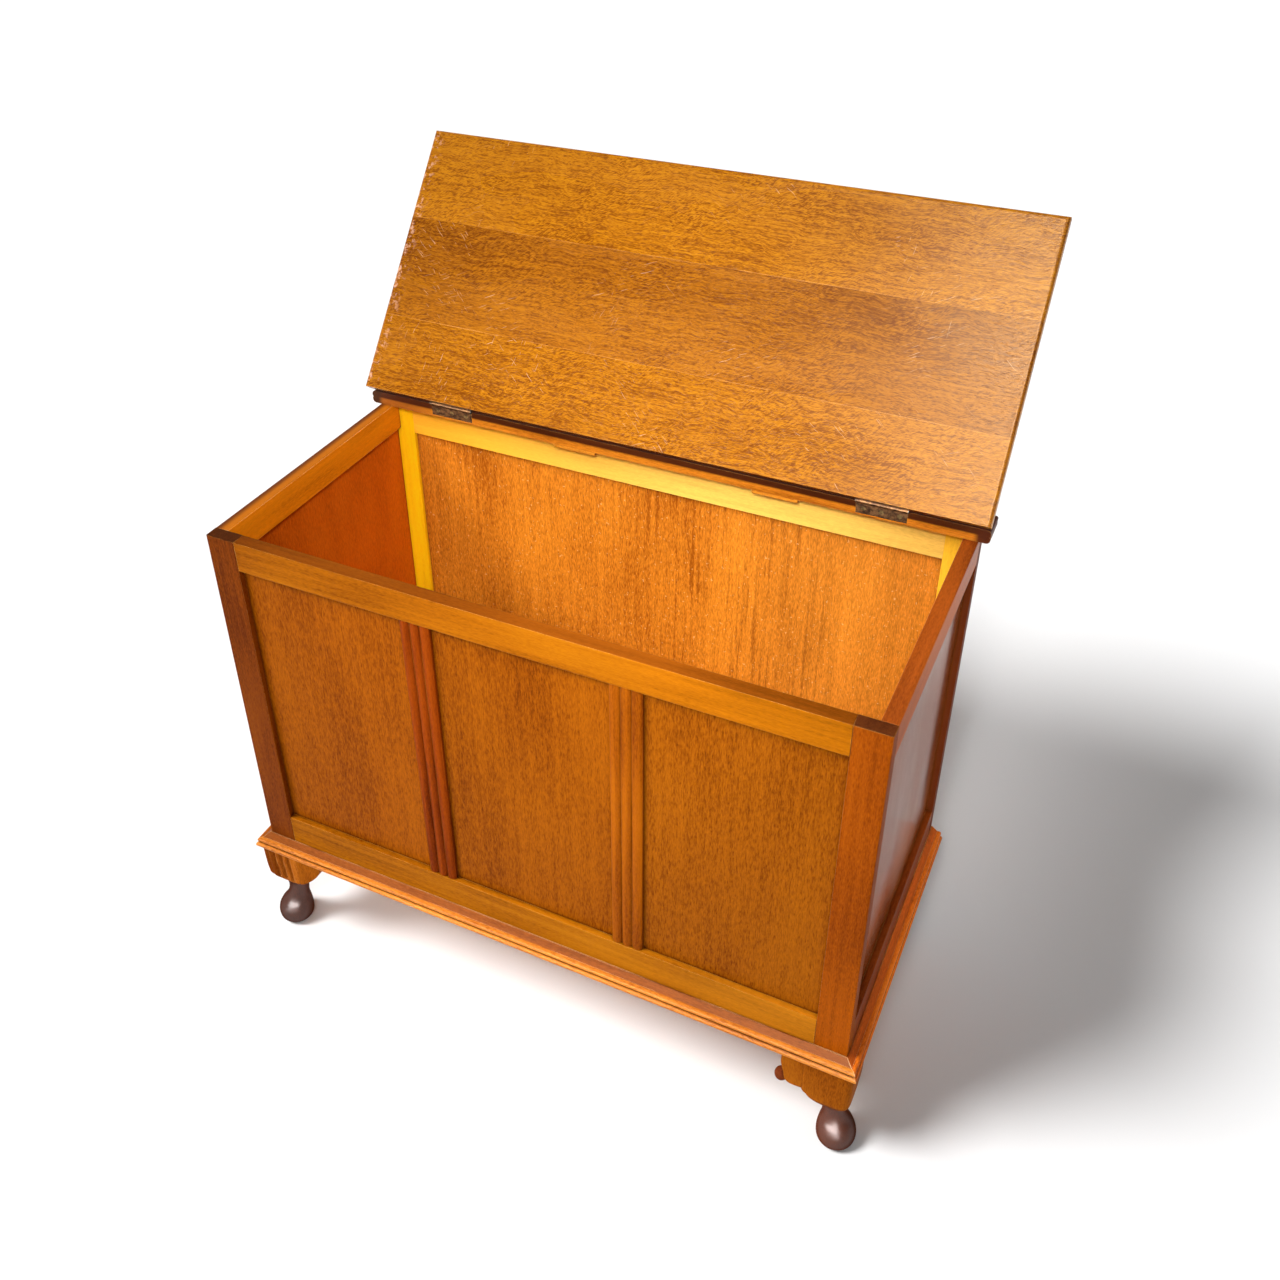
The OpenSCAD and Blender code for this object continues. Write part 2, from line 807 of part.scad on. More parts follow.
front_left_stile();
front_right_stile();
front_top_rail();
front_bottom_rail();
front_left_muntin();
front_right_muntin();
front_left_panel();
front_middle_panel();
front_right_panel();
left_top_rail();
left_bottom_rail();
left_panel();
right_top_rail();
right_bottom_rail();
right_panel();
back_left_stile();
back_right_stile();
back_top_rail();
back_bottom_rail();
back_panel();
bottom_board();
floor_cleats();
corner_blocks();
front_base_mould();
left_base_mould();
right_base_mould();
front_left_foot();
front_right_foot();
rear_left_foot();
rear_right_foot();
front_left_foot_wings();
front_right_foot_wings();
rear_left_foot_wing();
rear_right_foot_wing();
foot_screws();
hinge_rail();
hinge_rail_dowels();
left_slip();
right_slip();
lid_front_board();
lid_middle_board();
lid_rear_board();
left_hinge_fixed_leaf();
left_hinge_lid_leaf();
left_hinge_pin();
right_hinge_fixed_leaf();
right_hinge_lid_leaf();
right_hinge_pin();
fixed_leaf_screws();
lid_leaf_screws();
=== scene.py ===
"""Looks of the wooden toy box: materials, fine mesh pieces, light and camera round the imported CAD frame."""
import json
import math

import bpy
from mathutils import Matrix, Vector


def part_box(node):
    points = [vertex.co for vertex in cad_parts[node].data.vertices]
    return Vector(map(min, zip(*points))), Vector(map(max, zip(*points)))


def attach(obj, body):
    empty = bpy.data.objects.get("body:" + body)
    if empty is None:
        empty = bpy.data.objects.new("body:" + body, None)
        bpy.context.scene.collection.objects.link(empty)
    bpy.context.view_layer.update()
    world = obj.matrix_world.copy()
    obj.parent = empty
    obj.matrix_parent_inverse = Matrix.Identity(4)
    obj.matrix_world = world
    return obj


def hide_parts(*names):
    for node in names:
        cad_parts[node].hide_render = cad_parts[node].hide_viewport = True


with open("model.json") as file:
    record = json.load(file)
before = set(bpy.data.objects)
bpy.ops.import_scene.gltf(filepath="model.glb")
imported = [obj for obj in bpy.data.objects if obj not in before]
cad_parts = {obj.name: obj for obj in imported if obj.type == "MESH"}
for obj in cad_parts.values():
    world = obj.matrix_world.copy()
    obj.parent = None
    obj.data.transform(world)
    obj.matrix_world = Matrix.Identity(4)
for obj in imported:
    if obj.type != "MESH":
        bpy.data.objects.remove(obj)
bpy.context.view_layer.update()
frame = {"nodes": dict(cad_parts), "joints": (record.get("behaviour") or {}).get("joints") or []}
NODES = frame["nodes"]

# ---- Places worked out from the frame (metres) ----

MM = 0.001
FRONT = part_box("front_bottom_rail")[0].y
HALF_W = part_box("front_right_stile")[1].x
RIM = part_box("front_top_rail")[1].z
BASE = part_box("front_bottom_rail")[0].z
LID_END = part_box("lid_rear_board")[0].x
PANEL_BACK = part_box("back_panel")[1].y
LEFT_PANEL_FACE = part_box("left_panel")[0].x
TOP_FACE = (RIM - 0.7 * MM, RIM - 0.1 * MM)
# Above this height the hinge rail's front face is painted dark as the shadow of the gap under the lid
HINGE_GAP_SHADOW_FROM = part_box("hinge_rail")[0].z + 8 * MM
ANKLE_TOP = BASE - 66 * MM
BEAD = 9 * MM
EASED_EDGE = 0.6 * MM
LID_JOINT = frame["joints"][0]
HINGE = Vector(LID_JOINT["pos_m"])
LID_OPEN = math.radians(LID_JOINT["range_deg"][1])


# ---- Materials: a small helper that builds node graphs ----

def srgb(r, g, b):
    """A display colour with parts 0 to 255 as linear light."""
    parts = [c / 255 for c in (r, g, b)]
    return tuple(c / 12.92 if c <= 0.04045 else ((c + 0.055) / 1.055) ** 2.4 for c in parts) + (1.0,)


def shaded(tone, r, g, b):
    """A linear colour multiplied part by part."""
    return tuple(min(1.0, c * k) for c, k in zip(tone[:3], (r, g, b))) + (1.0,)


class Graph:
    """Adds and joins the nodes of one material."""

    def __init__(self, name):
        self.material = bpy.data.materials.new(name)
        self.material.use_nodes = True
        self.tree = self.material.node_tree
        self.tree.nodes.clear()

    def node(self, kind, settings=None, **sockets):
        made = self.tree.nodes.new(kind)
        for key, value in (settings or {}).items():
            setattr(made, key, value)
        for key, value in sockets.items():
            socket = self.socket(made, key)
            if isinstance(value, bpy.types.NodeSocket):
                self.tree.links.new(value, socket)
            else:
                socket.default_value = value
        return made

    @staticmethod
    def socket(node, key):
        if key[0] == "i" and key[1:].isdigit():
            return node.inputs[int(key[1:])]
        return node.inputs[key.replace("_", " ")]

    def math(self, operation, a, b=0.0, clamp=False):
        settings = {"operation": operation, "use_clamp": clamp}
        return self.node("ShaderNodeMath", settings, i0=a, i1=b).outputs[0]

    def product(self, *factors):
        result = factors[0]
        for factor in factors[1:]:
            result = self.math("MULTIPLY", result, factor)
        return result

    def mix(self, factor, a, b, blend="MIX"):
        made = self.node("ShaderNodeMix", {"data_type": "RGBA", "blend_type": blend}, i0=factor, i6=a, i7=b)
        return made.outputs[2]

    def ramp(self, value, low, high):
        """Smoothly 0 at low and 1 at high; low may be the greater."""
        flip = low > high
        low, high = min(low, high), max(low, high)
        made = self.node("ShaderNodeMapRange", {"interpolation_type": "SMOOTHSTEP"},
                         i0=value, i1=low, i2=high, i3=1.0 if flip else 0.0, i4=0.0 if flip else 1.0)
        return made.outputs[0]

    def noise(self, vector, scale, detail=3.0, roughness=0.55, distortion=0.0):
        return self.node("ShaderNodeTexNoise", Vector=vector, Scale=scale, Detail=detail,
                         Roughness=roughness, Distortion=distortion).outputs[0]

    def centred(self, value, amount):
        """Turns a noise into a swing of about +-amount / 4 round zero."""
        return self.math("MULTIPLY", self.math("SUBTRACT", value, 0.5), amount)

    def vector_math(self, operation, *vectors, output=0):
        places = {f"i{k}": vector for k, vector in enumerate(vectors)}
        return self.node("ShaderNodeVectorMath", {"operation": operation}, **places).outputs[output]

    def scaled(self, vector, x, y, z):
        return self.vector_math("MULTIPLY", vector, (x, y, z))

    def shifted(self, vector, x, y, z):
        return self.vector_math("ADD", vector, (x, y, z))

    def swayed(self, vector, scale, reach):
        """Moves a place about by a slow noise, so that straight grain runs in waves."""
        noise = self.node("ShaderNodeTexNoise", Vector=vector, Scale=scale, Detail=2.0, Roughness=0.5)
        offset = self.vector_math("SUBTRACT", noise.outputs["Color"], (0.5, 0.5, 0.5))
        return self.vector_math("MULTIPLY_ADD", offset, (reach,) * 3, vector)

    def finish(self, shader):
        self.node("ShaderNodeOutputMaterial", Surface=shader.outputs[0])
        return self.material


# How far the painted shade and grime in corners spread, how wide the pale edges of wear and painted highlight
# reach, how deep the grain is, and the coat's gloss
AO_REACH = 7 * MM
WEAR_AND_SHEEN_RADIUS = 1.4 * MM
BUMP_DEPTH = 0.3 * MM
COAT_ROUGHNESS = 0.28


def piece_seed(name):
    """A steady number for a piece's name, so that no two pieces share the same grain."""
    return sum((i + 1) * ord(c) for i, c in enumerate(name)) % 97


def wood(name, tone, grain="z", lid=False, fleck=1.0, streak=1.0, fine=1.0, patches=1.0, curl=0.0, rays=0.0,
         bands=0.0, band_zone=None, zones=(), rough=0.36, specular=0.08, ior=1.5, tint=(1.0, 0.66, 0.36),
         relief=0.16, wear_and_sheen=0.5, wear_and_sheen_tone=(238, 168, 84), shade_and_grime=0.6, scratches=0.0, specks=0.0,
         coat=0.0, coat_below=0.0, seed_name=""):
    """Polished oak. grain is the axis that the fibres follow; lid turns the coordinates into the shut lid's.

    fleck, streak, patches, curl, rays and bands are how strong each kind of figure is, and fine is how narrow
    the streaks are. band_zone is the stretch of x with dark bands, and zones are places of another tone.
    wear_and_sheen is the pale edges, real wear and on some pieces a painted highlight; shade_and_grime is
    painted shade with some soiling in corners. The coat lies under the height coat_below.
    """
    g = Graph(name)
    place = g.node("ShaderNodeTexCoord").outputs["Object"]
    if lid:
        place = g.node("ShaderNodeMapping", {"vector_type": "TEXTURE"}, Vector=place, Location=HINGE,
                       Rotation=(-LID_OPEN, 0.0, 0.0)).outputs[0]
    seed = piece_seed(seed_name or name)
    own = g.shifted(place, 0.37 * seed, 0.23 * seed, 0.31 * seed)
    if curl:
        own = g.swayed(own, 16.0, 0.012 * curl)
    along = {"x": (1, 0, 0), "y": (0, 1, 0), "z": (0, 0, 1)}[grain]

    def stretched(run, cross):
        return g.scaled(own, *(run if a else cross for a in along))

    # From large to small: slow patches, growth bands, long streaks, short flecks and open pores
    patch = g.noise(stretched(3.0, 10.0), 1.0, 2.0, 0.5)
    long_streak = g.noise(stretched(5.0 * fine, 150.0 * fine), 1.0, 3.0, 0.6)
    short_fleck = g.noise(stretched(150.0, 900.0), 1.0, 2.0, 0.65)
    pores = g.ramp(g.noise(stretched(70.0, 1300.0), 1.0, 1.0, 0.5), 0.58, 0.70)
    parts = [g.centred(patch, 1.3 * patches), g.centred(long_streak, 0.9 * streak),
             g.centred(short_fleck, 1.25 * fleck), g.math("MULTIPLY", pores, -0.16 * fleck)]
    if bands:
        reach = g.node("ShaderNodeSeparateXYZ", Vector=place).outputs["X"]
        start, end = band_zone
        band = g.ramp(g.noise(stretched(4.0, 150.0), 1.0, 4.0, 0.7), 0.50, 0.66)
        parts.append(g.product(band, g.ramp(reach, start - 0.05, start + 0.03),
                               g.ramp(reach, end + 0.05, end - 0.03), -bands))
    if rays:
        # Medullary rays: short wavy combs that cross the grain at a slant, in patches
        wavy = g.swayed(own, 34.0, 0.006)
        spun = g.node("ShaderNodeMapping", Vector=wavy, Rotation=(0.0, 0.0, 0.62)).outputs[0]
        comb = g.noise(g.scaled(spun, 150.0, 720.0, 150.0), 1.0, 2.0, 0.55)
        place_of_rays = g.ramp(g.noise(g.scaled(own, 7.0, 11.0, 7.0), 1.0, 2.0, 0.5), 0.42, 0.60)
        parts.append(g.product(g.centred(comb, 2.6), place_of_rays, rays))
    depth = 0.5
    for part in parts:
        depth = g.math("ADD", part, depth)
    depth = g.math("MINIMUM", g.math("MAXIMUM", depth, 0.0), 1.0)
    middle = srgb(*tone)
    colours = g.node("ShaderNodeValToRGB", Fac=depth)
    low, high = colours.color_ramp.elements
    low.position, low.color = 0.12, shaded(middle, 0.50, 0.38, 0.30)
    high.position, high.color = 0.90, shaded(middle, 1.36, 1.52, 1.6)
    centre = colours.color_ramp.elements.new(0.5)
    centre.color = middle
    colour = colours.outputs[0]

    # Places of another tone, a few of them painted shade: (axis, from, to, tone, strength)
    if zones:
        parts = g.node("ShaderNodeSeparateXYZ", Vector=place)
        shade = g.math("ADD", g.math("MULTIPLY", depth, 0.9), 0.55)
        for axis, start, end, zone_tone, strength in zones:
            mask = g.math("MULTIPLY", g.ramp(parts.outputs[axis.upper()], start, end), strength)
            colour = g.mix(mask, colour, g.mix(1.0, srgb(*zone_tone), shade, "MULTIPLY"))
    if specks:
        dots = g.ramp(g.noise(own, 260.0, 2.0, 0.5), 0.66, 0.74)
        colour = g.mix(g.math("MULTIPLY", dots, specks), colour, srgb(255, 214, 140))
    if scratches:
        for turn_by, cut in ((0.45, 0.705), (-0.7, 0.72), (1.4, 0.72)):
            spun = g.node("ShaderNodeMapping", Vector=own, Rotation=(0.0, 0.0, turn_by)).outputs[0]
            line = g.noise(g.scaled(spun, 42.0, 900.0, 42.0), 1.0, 1.0, 0.4, 0.2)
            zone = g.ramp(g.noise(spun, 7.0, 2.0, 0.5), 0.55, 0.66)
            mask = g.product(g.ramp(line, cut, cut + 0.03), zone, scratches)
            colour = g.mix(mask, colour, srgb(240, 205, 165))
    if lid:
        # Finish rubbed through to pale wood in specks along the lid's left end
        reach = g.node("ShaderNodeSeparateXYZ", Vector=place).outputs["X"]
        rubbed = g.ramp(g.noise(own, 110.0, 4.0, 0.7), 0.53, 0.62)
        colour = g.mix(g.product(g.ramp(reach, LID_END + 24 * MM, LID_END + 2 * MM), rubbed, 0.5), colour,
                       srgb(240, 190, 160))
    # Painted shade, with some grime: the colour darkens in corners and recesses that the occlusion node finds
    if shade_and_grime:
        hollow = g.node("ShaderNodeAmbientOcclusion", {"samples": 6}, Distance=AO_REACH)
        corner_shade = g.math("MULTIPLY", g.ramp(hollow.outputs["AO"], 0.9, 0.35), shade_and_grime)
        colour = g.mix(corner_shade, colour, shaded(middle, 0.14, 0.10, 0.10))
    # Pale arrises: real wear, and on the mouldings' beads and the feet also a painted highlight
    if wear_and_sheen:
        rounded = g.node("ShaderNodeBevel", {"samples": 6}, Radius=WEAR_AND_SHEEN_RADIUS).outputs[0]
        normal = g.node("ShaderNodeNewGeometry").outputs["True Normal"]
        turn = g.vector_math("DOT_PRODUCT", rounded, normal, output="Value")
        rubbed = g.ramp(g.noise(stretched(10.0, 60.0), 1.0, 3.0, 0.6), 0.36, 0.60)
        colour = g.mix(g.product(g.ramp(turn, 0.985, 0.85), rubbed, wear_and_sheen), colour, srgb(*wear_and_sheen_tone))

    height = g.math("ADD", g.math("MULTIPLY", short_fleck, 0.5), g.math("MULTIPLY", pores, -0.5))
    bump = g.node("ShaderNodeBump", Strength=relief, Distance=BUMP_DEPTH, Height=height).outputs[0]
    roughness = g.math("ADD", g.centred(patch, 0.3), rough, clamp=True)
    if coat_below:
        height = g.node("ShaderNodeSeparateXYZ", Vector=place).outputs["Z"]
        # Gloss only: the coat thins toward grazing angles, and no colour depends on the view
        facing = g.node("ShaderNodeLayerWeight", Blend=0.5).outputs["Facing"]
        coat = g.product(g.ramp(height, coat_below + 4 * MM, coat_below - 6 * MM),
                         g.ramp(facing, 0.75, 0.35), coat)
    shader = g.node("ShaderNodeBsdfPrincipled", Base_Color=colour, Roughness=roughness, Normal=bump,
                    IOR=ior, Specular_IOR_Level=specular, Specular_Tint=tint + (1.0,), Coat_Weight=coat,
                    Coat_Roughness=COAT_ROUGHNESS, Coat_Normal=bump)
    return g.finish(shader)


def metal(name, tone, tarnish):
    """Bronzed or tarnished metal with rubbed high spots."""
    g = Graph(name)
    place = g.node("ShaderNodeTexCoord").outputs["Object"]
    cloud = g.noise(place, 240.0, 4.0, 0.6)
    spots = g.ramp(g.noise(place, 900.0, 3.0, 0.6), 0.50, 0.70)
    colour = g.mix(g.ramp(cloud, 0.35, 0.65), srgb(*tarnish), srgb(*tone))
    colour = g.mix(g.math("MULTIPLY", spots, 0.35), colour, shaded(srgb(*tarnish), 0.3, 0.3, 0.3))
    bump = g.node("ShaderNodeBump", Strength=0.3, Distance=0.0002, Height=cloud).outputs[0]
    roughness = g.math("ADD", g.math("MULTIPLY", cloud, 0.35), 0.25, clamp=True)
    shader = g.node("ShaderNodeBsdfPrincipled", Base_Color=colour, Roughness=roughness, Normal=bump,
                    Metallic=0.85)
    return g.finish(shader)


BROWN = (120, 58, 14)
OUTSIDE = (("x", HALF_W - 11.5 * MM, HALF_W - 10.5 * MM, (104, 44, 16), 1.0),
           ("x", -HALF_W + 11.5 * MM, -HALF_W + 10.5 * MM, (104, 44, 16), 1.0),
           ("y", PANEL_BACK - 0.5 * MM, PANEL_BACK + 0.5 * MM, BROWN, 1.0))
MATT = dict(ior=1.08, specular=0.5)
YELLOW = dict(fleck=0.25, streak=0.35, patches=0.35, shade_and_grime=0.3, wear_and_sheen=0.0, rough=0.5, ior=1.3)
LID = dict(grain="x", lid=True, curl=1.6, scratches=0.4, fleck=1.6, streak=1.7, fine=2.3, patches=0.5,
           specular=0.36, tint=(1.0, 0.78, 0.5), rough=0.27, rays=0.7, ior=1.36, relief=0.5,
           zones=(("x", -LID_END - 1.2 * MM, -LID_END - 0.4 * MM, (206, 140, 66), 0.6),))
PANEL = dict(streak=0.55, patches=0.45, fleck=1.25, wear_and_sheen=0.0, shade_and_grime=0.8, **MATT)
MUNTIN = dict(fleck=0.8, streak=1.4, wear_and_sheen=0.4, shade_and_grime=1.0, wear_and_sheen_tone=(214, 130, 50), **MATT)
# The mouldings' pale bead edges are wear and, in part, a painted highlight
MOULD = dict(wear_and_sheen=0.9, wear_and_sheen_tone=(250, 196, 130), specular=0.2, rough=0.3, shade_and_grime=1.0, tint=(1.0, 0.86, 0.7),
             ior=1.26, relief=0.3)
# Painted shade: the mouldings' slope is made darker than their beads
SLOPE_SHADE = (120, 56, 12)
RECIPES = {
    "front_left_stile": dict(tone=(116, 53, 6), zones=(("z", *TOP_FACE, (66, 32, 12), 0.9),), **MATT),
    "front_right_stile": dict(tone=(136, 61, 3), wear_and_sheen=0.9,
                              zones=(("z", 0.44, 0.22, (160, 76, 4), 1.0),
                                     ("z", *TOP_FACE, (66, 32, 14), 0.9)), **MATT),
    "front_top_rail": dict(tone=(148, 81, 4), grain="x", fleck=0.7, wear_and_sheen=1.0, wear_and_sheen_tone=(255, 196, 96),
                           zones=(("x", 0.08, 0.30, (166, 94, 5), 1.0),
                                  ("z", *TOP_FACE, (112, 54, 8), 0.9)), **MATT),
    "front_bottom_rail": dict(tone=(154, 88, 7), grain="x", fleck=0.8, wear_and_sheen=0.9, wear_and_sheen_tone=(246, 190, 104),
                              zones=(("x", 0.10, 0.32, (170, 102, 14), 1.0),), **MATT),
    "front_left_muntin": dict(tone=(124, 48, 2), **MUNTIN),
    "front_right_muntin": dict(tone=(142, 70, 4), **MUNTIN),
    "front_left_panel": dict(tone=(139, 69, 3), **PANEL),
    "front_middle_panel": dict(tone=(135, 68, 3), **PANEL),
    "front_right_panel": dict(tone=(137, 71, 4), **PANEL),
    "left_top_rail": dict(tone=(224, 130, 12), grain="y", fleck=0.4, streak=0.5, wear_and_sheen=1.0,
                          wear_and_sheen_tone=(255, 216, 170),
                          zones=(("z", *TOP_FACE, (146, 78, 12), 0.9),
                                 ("x", -HALF_W + 12 * MM, -HALF_W + 3 * MM, (80, 36, 14), 0.9))),
    "left_bottom_rail": dict(tone=(160, 80, 10), grain="y"),
    "left_panel": dict(tone=(200, 94, 12), wear_and_sheen=0.0, fleck=0.7, streak=0.1, patches=0.8,
                       zones=(("x", LEFT_PANEL_FACE + 2 * MM, LEFT_PANEL_FACE + MM, (140, 70, 20), 1.0),)),
    "right_top_rail": dict(tone=(176, 84, 16), grain="y", wear_and_sheen=1.0,
                           zones=(("z", *TOP_FACE, (118, 52, 12), 0.8),)),
    "right_bottom_rail": dict(tone=(130, 56, 14), grain="y", wear_and_sheen=0.9),
    "right_panel": dict(tone=(150, 74, 24), wear_and_sheen=0.0, rough=0.17, specular=0.62, tint=(1.0, 0.84, 0.66)),
    "back_left_stile": dict(tone=(255, 192, 14), zones=OUTSIDE, **YELLOW),
    "back_right_stile": dict(tone=(255, 196, 50), zones=OUTSIDE, **YELLOW),
    "back_top_rail": dict(tone=(255, 204, 92), grain="x", zones=(
        ("x", 0.16, -0.36, (250, 172, 34), 0.9),) + OUTSIDE[2:], **YELLOW),
    "back_bottom_rail": dict(tone=(240, 170, 40), grain="x", zones=OUTSIDE[2:], **YELLOW),
    "back_panel": dict(tone=(202, 116, 27), bands=0.34, band_zone=(-0.02, 0.24), fleck=1.3, streak=0.6,
                       patches=0.6, wear_and_sheen=0.0, specks=0.35, rough=0.5,
                       zones=(("x", 0.02, 0.28, (204, 124, 38), 0.75),)),
    "bottom_board": dict(tone=(206, 124, 50), grain="x", wear_and_sheen=0.0),
    "hinge_rail": dict(tone=(206, 120, 26), grain="x", fleck=0.6, wear_and_sheen=0.3, zones=(
        ("x", -HALF_W + 120 * MM, -HALF_W + 40 * MM, (140, 72, 22), 0.8),
        # Painted shadow of the gap between the lid and the hinge rail
        ("z", HINGE_GAP_SHADOW_FROM, HINGE_GAP_SHADOW_FROM + 3 * MM, (64, 22, 8), 0.96),
        ("x", -HALF_W + 6 * MM, -HALF_W - 4 * MM, (56, 26, 12), 1.0),
        ("x", HALF_W - 8 * MM, HALF_W, (78, 30, 12), 1.0))),
    "left_slip": dict(tone=(214, 132, 34), grain="x"),
    "right_slip": dict(tone=(214, 132, 34), grain="x"),
    "lid_front_board": dict(tone=(158, 94, 6), **LID),
    "lid_middle_board": dict(tone=(138, 78, 5), **LID),
    "lid_rear_board": dict(tone=(150, 88, 7), **LID),
    # The zone next to the carcass darkens each moulding's slope as painted shade
    "front_base_mould": dict(tone=(206, 122, 40), grain="x",
                             zones=(("y", FRONT - BEAD - MM, FRONT - BEAD + MM, SLOPE_SHADE, 0.9),), **MOULD),
    "left_base_mould": dict(tone=(168, 88, 22), grain="y",
                            zones=(("x", -HALF_W - BEAD - MM, -HALF_W - BEAD + MM, SLOPE_SHADE, 0.9),),
                            **MOULD),
    "right_base_mould": dict(tone=(226, 112, 26), grain="y",
                             zones=(("x", HALF_W + BEAD + MM, HALF_W + BEAD - MM, (190, 84, 20), 0.9),),
                             **MOULD),
}
PLAIN_WOOD = dict(tone=(206, 160, 100), fleck=0.5, wear_and_sheen=0.0)
# The feet's pale edges are wear and, in part, a painted highlight on the flutes and ears
FOOT = dict(tone=(146, 76, 12), fleck=1.0, patches=2.2, streak=0.5, rough=0.3, specular=0.12, ior=1.06,
            wear_and_sheen=0.8, wear_and_sheen_tone=(226, 160, 84), shade_and_grime=0.9, relief=0.4, coat=0.66, coat_below=ANKLE_TOP,
            zones=(("z", ANKLE_TOP + 4 * MM, ANKLE_TOP - 6 * MM, (80, 35, 14), 1.0),))


def recipe(node):
    if node in RECIPES:
        return RECIPES[node]
    if "_foot" in node:
        return FOOT
    return PLAIN_WOOD


def dress(piece, material):
    """Gives a mesh one material on all its faces."""
    piece.data.materials.clear()
    piece.data.materials.append(material)


BRONZE = metal("hinge_bronze", (104, 72, 42), (56, 36, 20))
STEEL = metal("hinge_pin_steel", (120, 110, 96), (60, 50, 40))
SCREW_BRASS = metal("screw_brass", (128, 104, 62), (70, 54, 32))


def soften(piece):
    """Rounds the arrises of a CAD piece with modifiers, which leave its own mesh as it is."""
    weld = piece.modifiers.new("weld", "WELD")
    weld.merge_threshold = 0.00002
    bevel = piece.modifiers.new("eased_arrises", "BEVEL")
    bevel.width = EASED_EDGE
    bevel.segments = 2
    bevel.limit_method = "ANGLE"
    bevel.angle_limit = math.radians(35)
    bevel.use_clamp_overlap = True
    piece.data.shade_smooth()
    normals = piece.modifiers.new("flat_face_normals", "WEIGHTED_NORMAL")
    normals.keep_sharp = True


for node, piece in NODES.items():
    if "leaf" in node and "screws" not in node:
        dress(piece, BRONZE)
    elif node.endswith("_pin"):
        dress(piece, STEEL)
    elif "screws" in node:
        dress(piece, SCREW_BRASS)
    else:
        dress(piece, wood(node, **recipe(node)))
    if "stile" in node or "rail" in node or node.startswith("lid_") and "board" in node or "slip" in node:
        soften(piece)


# ---- Feet: turned and carved, finer than the CAD's (millimetres) ----

# The pad's radius and inset, and the knee's width and how far it stands out from the foot's corner
PAD_R = 24.5
PAD_INSET = 3
KNEE_W = 60
KNEE_OUT = 13
# The flutes down the knee: from one to the next, how deep, and how far round from the outer corner
FLUTE_PITCH = 12.5
FLUTE_DEPTH = 4.2
FLUTE_REACH = 52
# The ears: where they start, how thick, and how far out their faces stand
WING_START = KNEE_W - KNEE_OUT
WING_THICK = 18
FRONT_WING_FACE = 12.8
SIDE_WING_FACE = 6
# The scroll's radius, and its place along the ear and below the base
SCROLL_R = 8.5
SCROLL_ALONG = 26
SCROLL_DROP = 50.5


def catmull(a, b, c, d, t):
    """A smooth curve from b to c that heads as its neighbours a and d ask."""
    return 0.5 * (2 * b + (c - a) * t + (2 * a - 5 * b + 4 * c - d) * t * t
                  + (3 * b - a - 3 * c + d) * t ** 3)


def foot_stations(drop):
    """Height, inset of the centre in x and y, half size and squareness.

    drop lets the carved underside of the knee hang lower, as hand work differs from foot to foot.
    """
    pad_x, pad_y, pad_r, ankle_r, knee_w = PAD_INSET, 14, PAD_R, 14, KNEE_W
    knee = knee_w / 2 - KNEE_OUT
    return [
        (0, pad_x, pad_y, pad_r * 0.55, 0), (3, pad_x, pad_y, pad_r * 0.79, 0),
        (8, pad_x, pad_y, pad_r * 0.95, 0), (16, pad_x, pad_y, pad_r, 0),
        (25, pad_x + 0.5, pad_y + 0.3, pad_r * 0.965, 0),
        (34, pad_x + 2, pad_y + 1.5, pad_r * 0.85, 0), (42, pad_x + 4, pad_y + 3, pad_r * 0.7, 0),
        (50, pad_x + 6, pad_y + 4.2, pad_r * 0.61, 0), (60, pad_x + 8, pad_y + 5, ankle_r, 0),
        (72 - 0.4 * drop, pad_x + 9, pad_y + 5, ankle_r, 0),
        (82 - 0.8 * drop, pad_x + 9, pad_y + 5, ankle_r * 1.15, 0.05),
        (89 - drop, pad_x + 9, pad_y + 3.5, knee_w / 2 - 12.8, 0.15),
        (96 - drop, pad_x + 9.5, pad_y + 1.5, knee_w / 2 - 9.6, 0.35),
        (102 - drop, knee - 3.5, knee - 2.5, knee_w / 2 - 6, 0.5),
        (107 - 0.8 * drop, knee - 1.4, knee - 1.4, knee_w / 2 - 2, 0.62),
        (112 - 0.4 * drop, knee - 0.1, knee - 0.1, knee_w / 2 - 0.4, 0.7), (124, knee, knee, knee_w / 2, 0.8),
        (BASE / MM, knee, knee, knee_w / 2, 1),
    ]


def even_ring(z, half, square, sides):
    """Points evenly spaced round a section, and how far each lies along the edge from the outer corner."""
    plain = 2 + 8 * max(0.0, square) ** 2
    wing_corner = 2 + 22 * max(0.0, min(1.0, (z - 99) / 9))
    fine = []
    for k in range(1441):
        a = math.pi / 4 + 2 * math.pi * k / 1440
        c, s = math.cos(a), math.sin(a)
        power = max(plain, wing_corner) if c * s < 0 else plain
        fine.append((half * math.copysign(abs(c) ** (2 / power), c),
                     half * math.copysign(abs(s) ** (2 / power), s)))
    along = [0.0]
    for (x0, y0), (x1, y1) in zip(fine, fine[1:]):
        along.append(along[-1] + math.hypot(x1 - x0, y1 - y0))
    ring, k = [], 0
    for i in range(sides):
        want = along[-1] * i / sides
        while along[k + 1] < want:
            k += 1
        t = (want - along[k]) / max(1e-9, along[k + 1] - along[k])
        x, y = (u + (v - u) * t for u, v in zip(fine[k], fine[k + 1]))
        ring.append((x, y, want if want < along[-1] / 2 else want - along[-1]))
    return ring


def add_mesh(name, points, faces, mirrored):
    mesh = bpy.data.meshes.new(name)
    mesh.from_pydata(points, [], [face[::-1] for face in faces] if mirrored else faces)
    mesh.shade_smooth()
    made = bpy.data.objects.new(name, mesh)
    bpy.context.scene.collection.objects.link(made)
    return made


